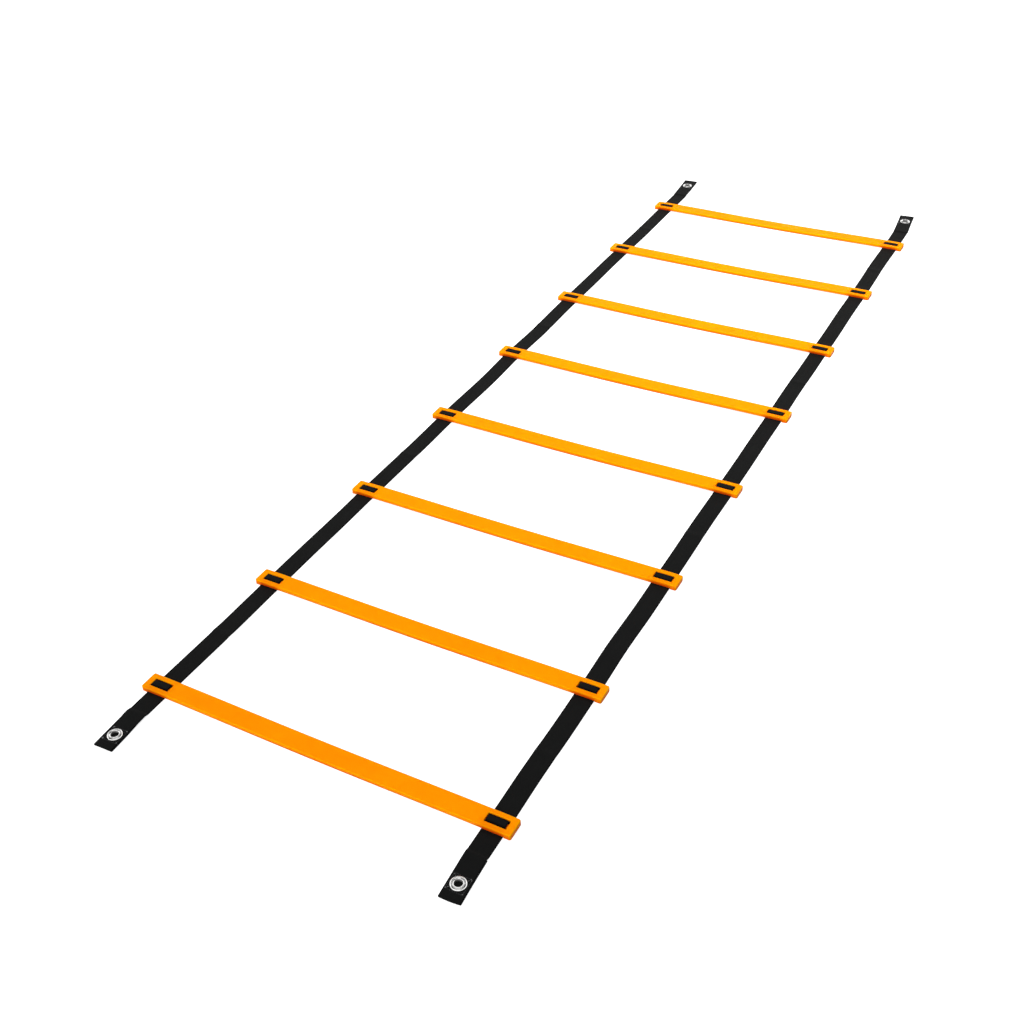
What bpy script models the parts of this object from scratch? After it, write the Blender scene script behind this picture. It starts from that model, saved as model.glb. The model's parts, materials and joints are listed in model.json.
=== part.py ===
"""Agility ladder: eight flat moulded rungs threaded on two webbing straps.

The ladder lies on the floor along Y, with its rungs along X and its origin at the
centre of its footprint. Each strap passes under the front rail of a rung's window,
up over the low bar inside it and down under the back rail, so a rung slides along
the straps and stays where it is put. The webbing is cut at the fold lines halfway
between rungs, where the ladder folds up like a concertina, with every other fold
above the rungs and the rest below the straps.
"""

import math

import bmesh
import bpy
from mathutils import Vector

# Lay-out of the ladder, in metres like every length here
RUNG_COUNT = 8
RUNG_PITCH = 0.220
NEAR_TAIL = 0.106
FAR_TAIL = 0.148
# How far each rung is slid from even spacing, as shares of the pitch
RUNG_SHIFT_SHARES = (0.0, 0.0, 0.021, 0.030, 0.008, 0.005, 0.013, 0.0)

# Clearances and cutting
SEAT_GAP = 0.0003
CUT_OVERRUN = 0.002
WELD_DISTANCE = 0.00001

# Webbing, its raised loops and its folded ends
STRAP_WIDTH = 0.026
STRAP_THICKNESS = 0.0015
LOOP_BEND = 0.0005
NEAR_HEM = 0.060
FAR_HEM = 0.075
HEM_RAMP = 0.004
HEM_PRESS = 0.0002

# Rung
RUNG_LENGTH = 0.500
RUNG_WIDTH = 0.0252
RUNG_WEB = 0.0054
RUNG_CORNER = 0.0025
RUNG_EDGE = 0.0011
FOOT_LENGTH = 0.0085
WINDOW_SIDE_GAP = 0.0004
WINDOW_END_GAP = 0.0006
BAR_WIDTH = 0.0062
LOOP_SUNK = 0.0009

# Eyelet and the washer that its curled lip holds down
NEAR_INSET = 0.0215
FAR_INSET = 0.029
HOLE_RADIUS = 0.0045
BARREL_WALL = 0.0005
FLANGE_RADIUS = 0.0092
FLANGE_THICKNESS = 0.0006
WASHER_RADIUS = 0.0095
WASHER_THICKNESS = 0.0008
WASHER_RIM = 0.0011
RIM_HEIGHT = 0.0005
LIP_RADIUS = 0.0072
LIP_HEIGHT = 0.0007

# Box stitch around the eyelet
STITCH_BOX = 0.0210
THREAD = 0.0006

# How far each hem swings sideways at its tip, as shares of the strap's width
LEAN_SHARES = {
    "near_left": 0.10,
    "near_right": 0.125,
    "far_left": -0.25,
    "far_right": -0.27,
}

# How far each eyelet sits off the middle of its strap, as shares of the play beside its box stitch
EYELET_SHIFT_SHARES = {
    "near_left": 0.12,
    "near_right": -0.12,
    "far_left": 0.20,
    "far_right": 0.20,
}

# How finely round things are drawn
CORNER_STEPS = 4
RIM_STEPS = 2
BEND_STEPS = 4
NOSE_STEPS = 8
EYELET_STEPS = 28

# Angles in degrees: what counts as one flat face, what counts as an edge, and the cross stitch
FLAT_ANGLE = 1
SHARP_ANGLE = 60
CROSS_ANGLE = 45

# Worked out from the sizes above
FOOT_DROP = STRAP_THICKNESS + SEAT_GAP
RUNG_TOP = FOOT_DROP + RUNG_WEB
LOOP_TOP = RUNG_TOP - LOOP_SUNK
BAR_TOP = LOOP_TOP - STRAP_THICKNESS - SEAT_GAP
WINDOW_WIDTH = STRAP_WIDTH + 2 * WINDOW_SIDE_GAP
LOOP_INNER = BAR_WIDTH / 2 + SEAT_GAP
LOOP_OUTER = LOOP_INNER + STRAP_THICKNESS
WINDOW_HALF_DEPTH = LOOP_OUTER + WINDOW_END_GAP
STRAP_CENTRE = RUNG_LENGTH / 2 - FOOT_LENGTH - WINDOW_WIDTH / 2
LADDER_LENGTH = NEAR_TAIL + (RUNG_COUNT - 1) * RUNG_PITCH + FAR_TAIL
FIRST_RUNG = NEAR_TAIL - LADDER_LENGTH / 2
FOLD_ABOVE = RUNG_TOP + SEAT_GAP / 2
FOLD_BELOW = -SEAT_GAP / 2
HEM_TOP = 2 * STRAP_THICKNESS - HEM_PRESS
BARREL_RADIUS = HOLE_RADIUS + BARREL_WALL
EYELET_CLEAR = BARREL_RADIUS + SEAT_GAP
EYELET_PLAY = (STRAP_WIDTH - STITCH_BOX) / 2
WASHER_SEAT = HEM_TOP + SEAT_GAP
WASHER_TOP = WASHER_SEAT + WASHER_THICKNESS
LIP_SEAT = WASHER_TOP + SEAT_GAP

# Turns an outline drawn in X and Y so that it stands in Y and Z, square across the ladder
SIDE_ON = (math.pi / 2, 0.0, math.pi / 2)

SIDES = (("left", -1), ("right", 1))
ENDS = (("near", -1), ("far", 1))


def clear_scene():
    for thing in list(bpy.data.objects):
        bpy.data.objects.remove(thing, do_unlink=True)
    for group in list(bpy.data.collections):
        bpy.data.collections.remove(group)


def new_collection(name):
    group = bpy.data.collections.new(name)
    bpy.context.scene.collection.children.link(group)
    return group


def finish(name, colour, roughness, metallic=0.0):
    """A plain finish for one kind of piece."""
    material = bpy.data.materials.new(name)
    material.use_nodes = True
    shader = material.node_tree.nodes["Principled BSDF"]
    shader.inputs["Base Color"].default_value = (*colour, 1.0)
    shader.inputs["Roughness"].default_value = roughness
    shader.inputs["Metallic"].default_value = metallic
    return material


def arc(centre, radius, start, end, steps):
    """Points on a round stretch of an outline, from one angle in degrees to another."""
    points = []
    for step in range(steps + 1):
        angle = math.radians(start + (end - start) * step / steps)
        points.append((centre[0] + radius * math.cos(angle), centre[1] + radius * math.sin(angle)))
    return points


def rounded_rectangle(half_length, half_width, radius):
    points = []
    for index, (across, along) in enumerate(((1, 1), (-1, 1), (-1, -1), (1, -1))):
        centre = (across * (half_length - radius), along * (half_width - radius))
        start = index * 90
        points += arc(centre, radius, start, start + 90, CORNER_STEPS)
    return points


def outline_mesh(name, outline, height):
    """A closed outline in X and Y as a solid, half its height above and half below."""
    curve = bpy.data.curves.new(name, "CURVE")
    curve.dimensions = "2D"
    curve.fill_mode = "BOTH"
    curve.extrude = height / 2
    spline = curve.splines.new("POLY")
    spline.points.add(len(outline) - 1)
    for point, (across, along) in zip(spline.points, outline):
        point.co = (across, along, 0.0, 1.0)
    spline.use_cyclic_u = True
    guide = bpy.data.objects.new(name, curve)
    bpy.context.scene.collection.objects.link(guide)
    evaluated = guide.evaluated_get(bpy.context.evaluated_depsgraph_get())
    mesh = bpy.data.meshes.new_from_object(evaluated)
    mesh.name = name
    bpy.data.objects.remove(guide, do_unlink=True)
    shape = bmesh.new()
    shape.from_mesh(mesh)
    bmesh.ops.remove_doubles(shape, verts=shape.verts, dist=WELD_DISTANCE)
    bmesh.ops.dissolve_limit(
        shape, angle_limit=math.radians(FLAT_ANGLE), verts=shape.verts, edges=shape.edges
    )
    shape.to_mesh(mesh)
    shape.free()
    return mesh


def box_mesh(name, size):
    shape = bmesh.new()
    bmesh.ops.create_cube(shape, size=1.0)
    bmesh.ops.scale(shape, vec=size, verts=shape.verts)
    mesh = bpy.data.meshes.new(name)
    shape.to_mesh(mesh)
    shape.free()
    return mesh


def disc_mesh(name, radius, height):
    shape = bmesh.new()
    bmesh.ops.create_cone(
        shape, cap_ends=True, segments=EYELET_STEPS, radius1=radius, radius2=radius, depth=height
    )
    mesh = bpy.data.meshes.new(name)
    shape.to_mesh(mesh)
    shape.free()
    return mesh


def ring_mesh(name, profile):
    """The closed section of a turned ring, drawn in X and Z, outer side first and downwards."""
    mesh = bpy.data.meshes.new(name)
    edges = [(index, (index + 1) % len(profile)) for index in range(len(profile))]
    mesh.from_pydata([(radius, 0.0, height) for radius, height in profile], edges, [])
    return mesh


class Ladder:
    """Holds the collections and puts pieces and cutters in them."""

    def __init__(self):
        self.pieces = new_collection("agility_ladder")
        self.cutters = new_collection("cutters")
        self.plastic = finish("orange_plastic", (1.0, 0.29, 0.0), 0.38)
        self.webbing = finish("black_webbing", (0.012, 0.012, 0.013), 0.85)
        self.nickel = finish("nickel", (0.78, 0.78, 0.76), 0.25, metallic=1.0)
        self.thread = finish("thread", (0.03, 0.03, 0.03), 0.7)

    def piece(self, name, mesh, material, parent, place, rotation=(0.0, 0.0, 0.0)):
        """A named part, placed in the ladder's own frame and carried by its parent empty."""
        thing = bpy.data.objects.new(name, mesh)
        if not mesh.materials:
            mesh.materials.append(material)
        self.pieces.objects.link(thing)
        thing.parent = parent
        thing.location = Vector(place) - world_place(parent)
        thing.rotation_euler = rotation
        return thing

    def cutter(self, name, mesh, place, parent, rotation=(0.0, 0.0, 0.0)):
        """A tool that shapes a part, placed in that part's frame."""
        thing = bpy.data.objects.new(name, mesh)
        thing.hide_render = True
        thing.display_type = "WIRE"
        self.cutters.objects.link(thing)
        thing.parent = parent
        thing.location = place
        thing.rotation_euler = rotation
        return thing

    def carrier(self, name, place, parent):
        """An empty on a fold's axis, which carries the section beyond it."""
        empty = bpy.data.objects.new(name, None)
        empty.empty_display_size = RUNG_WIDTH
        self.pieces.objects.link(empty)
        empty.parent = parent
        empty.location = Vector(place) - world_place(parent)
        return empty


def world_place(thing):
    """Where a carrier stands, added up along the chain of its parents."""
    place = Vector()
    while thing:
        place += thing.location
        thing = thing.parent
    return place


def cut(thing, cutter, operation="DIFFERENCE"):
    modifier = thing.modifiers.new(cutter.name, "BOOLEAN")
    modifier.object = cutter
    modifier.operation = operation


def rung_place(index):
    shift = RUNG_SHIFT_SHARES[index % len(RUNG_SHIFT_SHARES)]
    return FIRST_RUNG + (index + shift) * RUNG_PITCH


def fold_place(index):
    """The fold line on the near side of this rung's section."""
    return FIRST_RUNG + (index - 1 / 2) * RUNG_PITCH


def fold_height(index):
    return FOLD_ABOVE if index % 2 else FOLD_BELOW


def make_rungs(ladder, sections):
    """Makes a rung for each section and returns them all.

    Each rung is a rounded bar, raised between its end feet, with a window at each end.
    """
    outline = rounded_rectangle(RUNG_LENGTH / 2, RUNG_WIDTH / 2, RUNG_CORNER)
    blank = outline_mesh("rung", outline, RUNG_TOP)
    under_cut_length = RUNG_LENGTH - 2 * FOOT_LENGTH
    under_cut = box_mesh("rung_under_cut", (under_cut_length, RUNG_WIDTH + 2 * CUT_OVERRUN, 2 * FOOT_DROP))
    window_mesh = outline_mesh("rung_window", window_outline(), WINDOW_WIDTH)
    rungs = []
    for index, section in enumerate(sections):
        centre = (0.0, rung_place(index), RUNG_TOP / 2)
        rung = ladder.piece(f"rung_{index + 1}", blank, ladder.plastic, section, centre)
        edge = rung.modifiers.new("rounded edges", "BEVEL")
        edge.width = RUNG_EDGE
        edge.segments = RIM_STEPS
        edge.limit_method = "ANGLE"
        edge.angle_limit = math.radians(SHARP_ANGLE)
        below = ladder.cutter(f"under_cut_{index + 1}", under_cut, (0.0, 0.0, -RUNG_TOP / 2), rung)
        cut(rung, below)
        for side, sign in SIDES:
            place = (sign * STRAP_CENTRE, 0.0, -RUNG_TOP / 2)
            window = ladder.cutter(f"{side}_window_{index + 1}", window_mesh, place, rung, SIDE_ON)
            cut(rung, window)
        rungs.append(rung)
    return rungs


def window_outline():
    """Side view of a window: an open well above the bar, and a slot down each side of it."""
    bottom = FOOT_DROP - CUT_OVERRUN
    top = RUNG_TOP + CUT_OVERRUN
    return [
        (-WINDOW_HALF_DEPTH, bottom),
        (-BAR_WIDTH / 2, bottom),
        (-BAR_WIDTH / 2, BAR_TOP),
        (BAR_WIDTH / 2, BAR_TOP),
        (BAR_WIDTH / 2, bottom),
        (WINDOW_HALF_DEPTH, bottom),
        (WINDOW_HALF_DEPTH, top),
        (-WINDOW_HALF_DEPTH, top),
    ]


def loop_outline():
    """Side view of the webbing that climbs over the bar, from just above the flat strap."""
    bend = LOOP_BEND + STRAP_THICKNESS
    under = LOOP_TOP - STRAP_THICKNESS
    points = [(-LOOP_OUTER, FOOT_DROP)]
    points += arc((-LOOP_OUTER + bend, LOOP_TOP - bend), bend, 180, 90, BEND_STEPS)
    points += arc((LOOP_OUTER - bend, LOOP_TOP - bend), bend, 90, 0, BEND_STEPS)
    points += [(LOOP_OUTER, FOOT_DROP), (LOOP_INNER, FOOT_DROP)]
    points += arc((LOOP_INNER - LOOP_BEND, under - LOOP_BEND), LOOP_BEND, 0, 90, BEND_STEPS)
    points += arc((-LOOP_INNER + LOOP_BEND, under - LOOP_BEND), LOOP_BEND, 90, 180, BEND_STEPS)
    points.append((-LOOP_INNER, FOOT_DROP))
    return points


def make_loops(ladder, rungs):
    mesh = outline_mesh("webbing_loop", loop_outline(), STRAP_WIDTH)
    for index, rung in enumerate(rungs):
        for side, sign in SIDES:
            place = (sign * STRAP_CENTRE, rung_place(index), 0.0)
            ladder.piece(f"{side}_loop_{index + 1}", mesh, ladder.webbing, rung, place, SIDE_ON)


def hemmed_outline(tail, hem):
    """Side view of an end of the strap, from its fold line to the tip, where it is doubled under.

    The outline runs from the tip at zero to the fold line at the far end of its section.
    """
    length = tail + RUNG_PITCH / 2 - SEAT_GAP / 2
    flat = hem + HEM_RAMP
    nose = HEM_TOP / 2
    points = arc((nose, nose), nose, 90, 270, NOSE_STEPS)
    points += [(hem, 0.0), (hem, HEM_TOP - STRAP_THICKNESS), (flat, 0.0), (length, 0.0)]
    points += [(length, STRAP_THICKNESS), (flat, STRAP_THICKNESS), (hem, HEM_TOP)]
    return points


def hem_of(name):
    return NEAR_HEM if name.startswith("near") else FAR_HEM


def inset_of(name):
    return NEAR_INSET if name.startswith("near") else FAR_INSET


def lean_at(name, inset):
    """How far a hem has swung sideways at this distance from its tip."""
    return LEAN_SHARES[name] * STRAP_WIDTH * (1 - inset / hem_of(name))


def hemmed_mesh(name, outline):
    """An end of the strap, swung sideways from the inner edge of its hem to its tip."""
    mesh = outline_mesh(f"{name}_webbing", outline, STRAP_WIDTH)
    hem = hem_of(name)
    inner_edge = hem if name.startswith("near") else -hem
    shape = bmesh.new()
    shape.from_mesh(mesh)
    everything = shape.verts[:] + shape.edges[:] + shape.faces[:]
    bmesh.ops.bisect_plane(
        shape, geom=everything, dist=WELD_DISTANCE, plane_co=(inner_edge, 0.0, 0.0), plane_no=(1, 0, 0)
    )
    for vert in shape.verts:
        inset = abs(vert.co.x)
        if inset < hem:
            vert.co.z += lean_at(name, inset)
    shape.to_mesh(mesh)
    shape.free()
    return mesh


def make_straps(ladder, sections):
    """Flat webbing from fold line to fold line, with a hemmed end on the first and the last."""
    length = RUNG_PITCH - SEAT_GAP
    plain = box_mesh("webbing", (STRAP_WIDTH, length, STRAP_THICKNESS))
    near_outline = hemmed_outline(NEAR_TAIL, NEAR_HEM)
    far_outline = mirrored(hemmed_outline(FAR_TAIL, FAR_HEM))
    last = len(sections) - 1
    for index, section in enumerate(sections):
        for side, sign in SIDES:
            name = f"{side}_strap_{index + 1}"
            across = sign * STRAP_CENTRE
            if index == 0:
                place = (across, -LADDER_LENGTH / 2, 0.0)
                mesh = hemmed_mesh(f"near_{side}", near_outline)
                strap = ladder.piece(name, mesh, ladder.webbing, section, place, SIDE_ON)
                pierce(ladder, strap, f"near_{side}", NEAR_INSET)
            elif index == last:
                place = (across, LADDER_LENGTH / 2, 0.0)
                mesh = hemmed_mesh(f"far_{side}", far_outline)
                strap = ladder.piece(name, mesh, ladder.webbing, section, place, SIDE_ON)
                pierce(ladder, strap, f"far_{side}", -FAR_INSET)
            else:
                middle = fold_place(index) + RUNG_PITCH / 2
                place = (across, middle, STRAP_THICKNESS / 2)
                ladder.piece(name, plain, ladder.webbing, section, place)


def mirrored(outline):
    return [(-along, height) for along, height in reversed(outline)]


def eyelet_offset(name):
    """How far an eyelet stands from the straight line of its strap."""
    return lean_at(name, inset_of(name)) + EYELET_SHIFT_SHARES[name] * EYELET_PLAY


def pierce(ladder, strap, name, along):
    """The hole for the barrel, and the webbing pressed in over the flange beneath."""
    hole = disc_mesh(f"{name}_hole", EYELET_CLEAR, HEM_TOP + 2 * CUT_OVERRUN)
    press_depth = FLANGE_THICKNESS + SEAT_GAP
    press = disc_mesh(f"{name}_press", FLANGE_RADIUS + SEAT_GAP, 2 * press_depth)
    turn_back = [-angle for angle in SIDE_ON]
    for mesh, height in ((hole, HEM_TOP / 2), (press, 0.0)):
        place = (along, height, eyelet_offset(name))
        tool = ladder.cutter(mesh.name, mesh, place, strap, turn_back)
        tool.rotation_mode = "ZYX"
        cut(strap, tool)


def eyelet_profile():
    """Section of the eyelet: flange below, barrel, and a lip curled out over the washer."""
    curl = LIP_HEIGHT / 2
    crown = LIP_SEAT + LIP_HEIGHT
    points = arc((LIP_RADIUS - curl, LIP_SEAT + curl), curl, 90, -90, BEND_STEPS)
    points += [(BARREL_RADIUS, LIP_SEAT), (BARREL_RADIUS, FLANGE_THICKNESS)]
    points += [(FLANGE_RADIUS, FLANGE_THICKNESS), (FLANGE_RADIUS, 0.0), (HOLE_RADIUS, 0.0)]
    points += arc((HOLE_RADIUS + curl, crown - curl), curl, 180, 90, BEND_STEPS)
    return points


def washer_profile():
    """Section of the washer: a flat ring with a rounded rim, raised above it."""
    rim_top = WASHER_TOP + RIM_HEIGHT
    half_rim = WASHER_RIM / 2
    rim_centre = (WASHER_RADIUS - half_rim, rim_top - half_rim)
    points = arc(rim_centre, half_rim, 90, 0, BEND_STEPS)
    points += [(WASHER_RADIUS, WASHER_SEAT), (EYELET_CLEAR, WASHER_SEAT), (EYELET_CLEAR, WASHER_TOP)]
    points.append((WASHER_RADIUS - WASHER_RIM - RIM_HEIGHT, WASHER_TOP))
    points += arc(rim_centre, half_rim, 180, 90, BEND_STEPS)[:-1]
    return points


def make_eyelets(ladder, sections):
    eyelet_mesh = ring_mesh("eyelet", eyelet_profile())
    washer_mesh = ring_mesh("washer", washer_profile())
    for end, direction in ENDS:
        section = sections[0] if direction < 0 else sections[-1]
        along = direction * (LADDER_LENGTH / 2 - inset_of(end))
        for side, sign in SIDES:
            name = f"{end}_{side}"
            place = (sign * STRAP_CENTRE + eyelet_offset(name), along, 0.0)
            for kind, mesh in (("eyelet", eyelet_mesh), ("washer", washer_mesh)):
                thing = ladder.piece(f"{name}_{kind}", mesh, ladder.nickel, section, place)
                turn = thing.modifiers.new("turned", "SCREW")
                turn.steps = EYELET_STEPS
                turn.render_steps = EYELET_STEPS
                turn.use_merge_vertices = True
                turn.merge_threshold = WELD_DISTANCE
                turn.use_smooth_shade = True
            make_stitching(ladder, name, section, place)


def make_stitching(ladder, name, section, place):
    """One run of thread: a box around the eyelet, with the corners of its cross left showing."""
    half = THREAD / 2
    outer = box_mesh(f"{name}_stitching", (STITCH_BOX, STITCH_BOX, THREAD))
    inside = STITCH_BOX - 2 * THREAD
    height = HEM_TOP + SEAT_GAP + half
    centre = (place[0], place[1], height)
    thing = ladder.piece(f"{name}_stitching", outer, ladder.thread, section, centre)
    deep = THREAD + 2 * CUT_OVERRUN
    well_mesh = box_mesh("well", (inside, inside, deep))
    well = ladder.cutter(f"{name}_stitch_well", well_mesh, (0.0, 0.0, 0.0), thing)
    cut(thing, well)
    cross_length = STITCH_BOX * math.sqrt(2) - 2 * THREAD
    cross_mesh = box_mesh("cross", (cross_length, THREAD, THREAD))
    for turn in (CROSS_ANGLE, -CROSS_ANGLE):
        bar = ladder.cutter(f"{name}_cross_{turn}", cross_mesh, (0.0, 0.0, 0.0), thing)
        bar.rotation_euler = (0.0, 0.0, math.radians(turn))
        cut(thing, bar, "UNION")
    disc = disc_mesh("disc", WASHER_RADIUS + SEAT_GAP, deep)
    middle = ladder.cutter(f"{name}_stitch_disc", disc, (0.0, 0.0, 0.0), thing)
    cut(thing, middle)


def build():
    clear_scene()
    ladder = Ladder()
    sections = []
    for index in range(RUNG_COUNT):
        parent = sections[-1] if sections else None
        height = fold_height(index) if parent else 0.0
        sections.append(ladder.carrier(f"section_{index + 1}", (0.0, fold_place(index), height), parent))
    make_straps(ladder, sections)
    rungs = make_rungs(ladder, sections)
    make_loops(ladder, rungs)
    make_eyelets(ladder, sections)
    bpy.context.view_layer.update()


build()
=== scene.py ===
# Agility ladder: its looks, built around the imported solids. Everything is in metres.
import json
import random
from itertools import product
from math import ceil, copysign, cos, dist, exp, hypot, pi, radians, sin, sqrt

import bmesh
import bpy
from mathutils import Matrix, Vector


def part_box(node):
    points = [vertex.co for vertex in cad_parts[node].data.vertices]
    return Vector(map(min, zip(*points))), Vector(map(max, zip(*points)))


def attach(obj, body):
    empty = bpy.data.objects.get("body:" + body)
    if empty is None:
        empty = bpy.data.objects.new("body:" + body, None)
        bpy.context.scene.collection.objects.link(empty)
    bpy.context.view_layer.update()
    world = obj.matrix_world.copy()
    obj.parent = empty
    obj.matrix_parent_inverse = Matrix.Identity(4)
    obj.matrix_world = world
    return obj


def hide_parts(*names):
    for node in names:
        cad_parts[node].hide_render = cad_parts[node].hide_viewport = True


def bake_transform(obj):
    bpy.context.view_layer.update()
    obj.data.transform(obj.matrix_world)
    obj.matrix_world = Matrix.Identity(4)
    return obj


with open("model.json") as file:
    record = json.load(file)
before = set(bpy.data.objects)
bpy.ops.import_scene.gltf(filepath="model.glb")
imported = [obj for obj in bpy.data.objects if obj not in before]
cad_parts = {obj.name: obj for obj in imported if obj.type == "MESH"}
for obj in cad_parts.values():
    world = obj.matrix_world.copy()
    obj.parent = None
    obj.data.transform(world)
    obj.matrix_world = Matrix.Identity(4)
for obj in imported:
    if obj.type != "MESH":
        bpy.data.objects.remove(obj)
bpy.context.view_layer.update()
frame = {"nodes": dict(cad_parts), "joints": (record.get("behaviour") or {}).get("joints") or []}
print("frame loaded:", len(frame["nodes"]), "solids")

scene = bpy.context.scene
scene.view_settings.view_transform = "Standard"


# Where the ladder's pieces stand, read from the solids
def middleOf(node):
    low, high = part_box(node)
    return (low + high) / 2


rungCount = 8
sides = ("left", "right")
rungPlaces = [middleOf(f"rung_{number}").y for number in range(1, rungCount + 1)]
foldPlaces = [Vector(joint["pos_m"]) for joint in frame["joints"] if joint["type"] == "hinge"]
strapCentres = {side: middleOf(f"{side}_strap_2").x for side in sides}


# Shared helpers for meshes
touching = 0.00001  # nearer than this counts as the same place


def smoothStep(value):
    value = min(max(value, 0.0), 1.0)
    return value * value * (3 - 2 * value)


def bell(distance, reach):
    # 1 at no distance, and next to nothing past twice the reach
    return exp(-((distance / reach) ** 2))


def spaced(start, end, step):
    # even steps from start to end, both included
    count = max(1, ceil(abs(end - start) / step - 0.001))
    return [start + (end - start) * index / count for index in range(count + 1)]


def arcPoints(centre, radius, start, end, steps):
    # an arc from one angle to another, in degrees
    points = []
    for angle in spaced(start, end, abs(end - start) / steps):
        turned = radians(angle)
        points.append((centre[0] + radius * cos(turned), centre[1] + radius * sin(turned)))
    return points


def newMesh(name, verts, faces):
    mesh = bpy.data.meshes.new(name)
    mesh.from_pydata(verts, [], faces)
    return mesh


def addObject(data, material=None):
    thing = bpy.data.objects.new(data.name, data)
    scene.collection.objects.link(thing)
    if material:
        data.materials.append(material)
    return thing


def markPoints(mesh, name, values):
    # one number at each point of a mesh, for its material
    mesh.attributes.new(name, "FLOAT", "POINT").data.foreach_set("value", values)


def ringFaces(rings, size, closed=False):
    # faces from each ring of points to the next, each ring of this size, and over both ends
    faces = []
    for ring in range(rings if closed else rings - 1):
        start, after = ring * size, (ring + 1) % rings * size
        for index in range(size):
            beyond = (index + 1) % size
            faces.append((start + index, start + beyond, after + beyond, after + index))
    if not closed:
        faces += [tuple(range(size)), tuple(reversed(range(size * (rings - 1), size * rings)))]
    return faces


def finishMesh(mesh, sharpAngle=40):
    # faces outwards, smooth shading, and creases kept where the surface turns sharply
    shape = bmesh.new()
    shape.from_mesh(mesh)
    bmesh.ops.recalc_face_normals(shape, faces=shape.faces)
    shape.to_mesh(mesh)
    shape.free()
    mesh.shade_smooth()
    mesh.set_sharp_from_angle(angle=radians(sharpAngle))


def bakeModifiers(piece):
    # the evaluated mesh takes the place of the mesh and its modifiers
    bpy.context.view_layer.update()
    evaluated = piece.evaluated_get(bpy.context.evaluated_depsgraph_get())
    mesh = bpy.data.meshes.new_from_object(evaluated)
    old = piece.data
    piece.modifiers.clear()
    piece.data = mesh
    bpy.data.meshes.remove(old)
    mesh.name = piece.name
    return mesh


# Shared helpers for materials
def emptyTree(owner):
    # a material's or world's nodes, without those that Blender starts with
    owner.use_nodes = True
    owner.node_tree.nodes.clear()
    return owner.node_tree


def addOutput(tree, kind, surface):
    tree.links.new(surface, addNode(tree, "Output" + kind).inputs["Surface"])


def newMaterial(name):
    # a material whose shader is the only thing in it so far
    material = bpy.data.materials.new(name)
    tree = emptyTree(material)
    shader = addNode(tree, "BsdfPrincipled")
    addOutput(tree, "Material", shader.outputs["BSDF"])
    return material, tree, shader


def addNode(tree, kind, inputs=None, **settings):
    node = tree.nodes.new("ShaderNode" + kind)
    for name, value in settings.items():
        setattr(node, name, value)
    plug(tree, node, inputs or {})
    return node


def plug(tree, node, inputs):
    # a socket is linked, anything else is written on the input itself
    for name, value in inputs.items():
        if isinstance(value, bpy.types.NodeSocket):
            tree.links.new(value, node.inputs[name])
        else:
            node.inputs[name].default_value = value


def maths(tree, operation, first, second=0.0):
    return addNode(tree, "Math", {0: first, 1: second}, operation=operation).outputs[0]


def plus(tree, first, second):
    return maths(tree, "ADD", first, second)


def times(tree, first, *others):
    for value in others:
        first = maths(tree, "MULTIPLY", first, value)
    return first


def pointValue(tree, name):
    # what the mesh carries at each of its points
    return addNode(tree, "Attribute", attribute_name=name).outputs["Fac"]


def relief(tree, strength, depth, height):
    node = addNode(tree, "Bump", {"Strength": strength, "Distance": depth, "Height": height})
    return node.outputs["Normal"]


def ramp(tree, value, fromLow, fromHigh, toLow=0.0, toHigh=1.0, smooth=False):
    node = addNode(tree, "MapRange", {
        "Value": value, "From Min": fromLow, "From Max": fromHigh, "To Min": toLow, "To Max": toHigh,
    })
    node.interpolation_type = "SMOOTHSTEP" if smooth else "LINEAR"
    return node.outputs["Result"]


def mixColours(tree, factor, *colours):
    node = addNode(tree, "Mix", {0: factor}, data_type="RGBA")
    for index, colour in zip((6, 7), colours):
        plug(tree, node, {index: (*colour, 1.0) if isinstance(colour, tuple) else colour})
    return node.outputs[2]


def noise(tree, vector, scale, detail, roughness=0.5):
    inputs = {"Vector": vector, "Scale": scale, "Detail": detail, "Roughness": roughness}
    return addNode(tree, "TexNoise", inputs).outputs["Fac"]


def stretch(tree, vector, scale):
    return addNode(tree, "Mapping", {"Vector": vector, "Scale": scale}).outputs["Vector"]


# Camera, as the photograph was taken
camera = {
    "place": (0.69166, -1.53455, 1.05632),
    "azimuth": -29.9635,  # degrees that it looks to the left of straight along the ladder
    "elevation": 36.5443,  # degrees that it looks down
    "roll": -2.6733,
    "lens": 44.6665,  # millimetres, as the sensor is
    "sensor": 36.0,
    "farthest": 60.0,
}


def addCamera():
    turn, dip, roll = (radians(camera[key]) for key in ("azimuth", "elevation", "roll"))
    ahead = Vector((cos(dip) * sin(turn), cos(dip) * cos(turn), -sin(dip)))
    level = ahead.cross(Vector((0.0, 0.0, 1.0))).normalized()
    above = level.cross(ahead)
    right = cos(roll) * level + sin(roll) * above
    up = cos(roll) * above - sin(roll) * level
    data = bpy.data.cameras.new("photoCamera")
    data.lens = camera["lens"]
    data.sensor_width = camera["sensor"]
    data.clip_end = camera["farthest"]
    axes = Matrix((right, up, -ahead)).transposed().to_4x4()
    scene.camera = addObject(data)
    scene.camera.matrix_world = Matrix.Translation(camera["place"]) @ axes


addCamera()
print("camera set")


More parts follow.
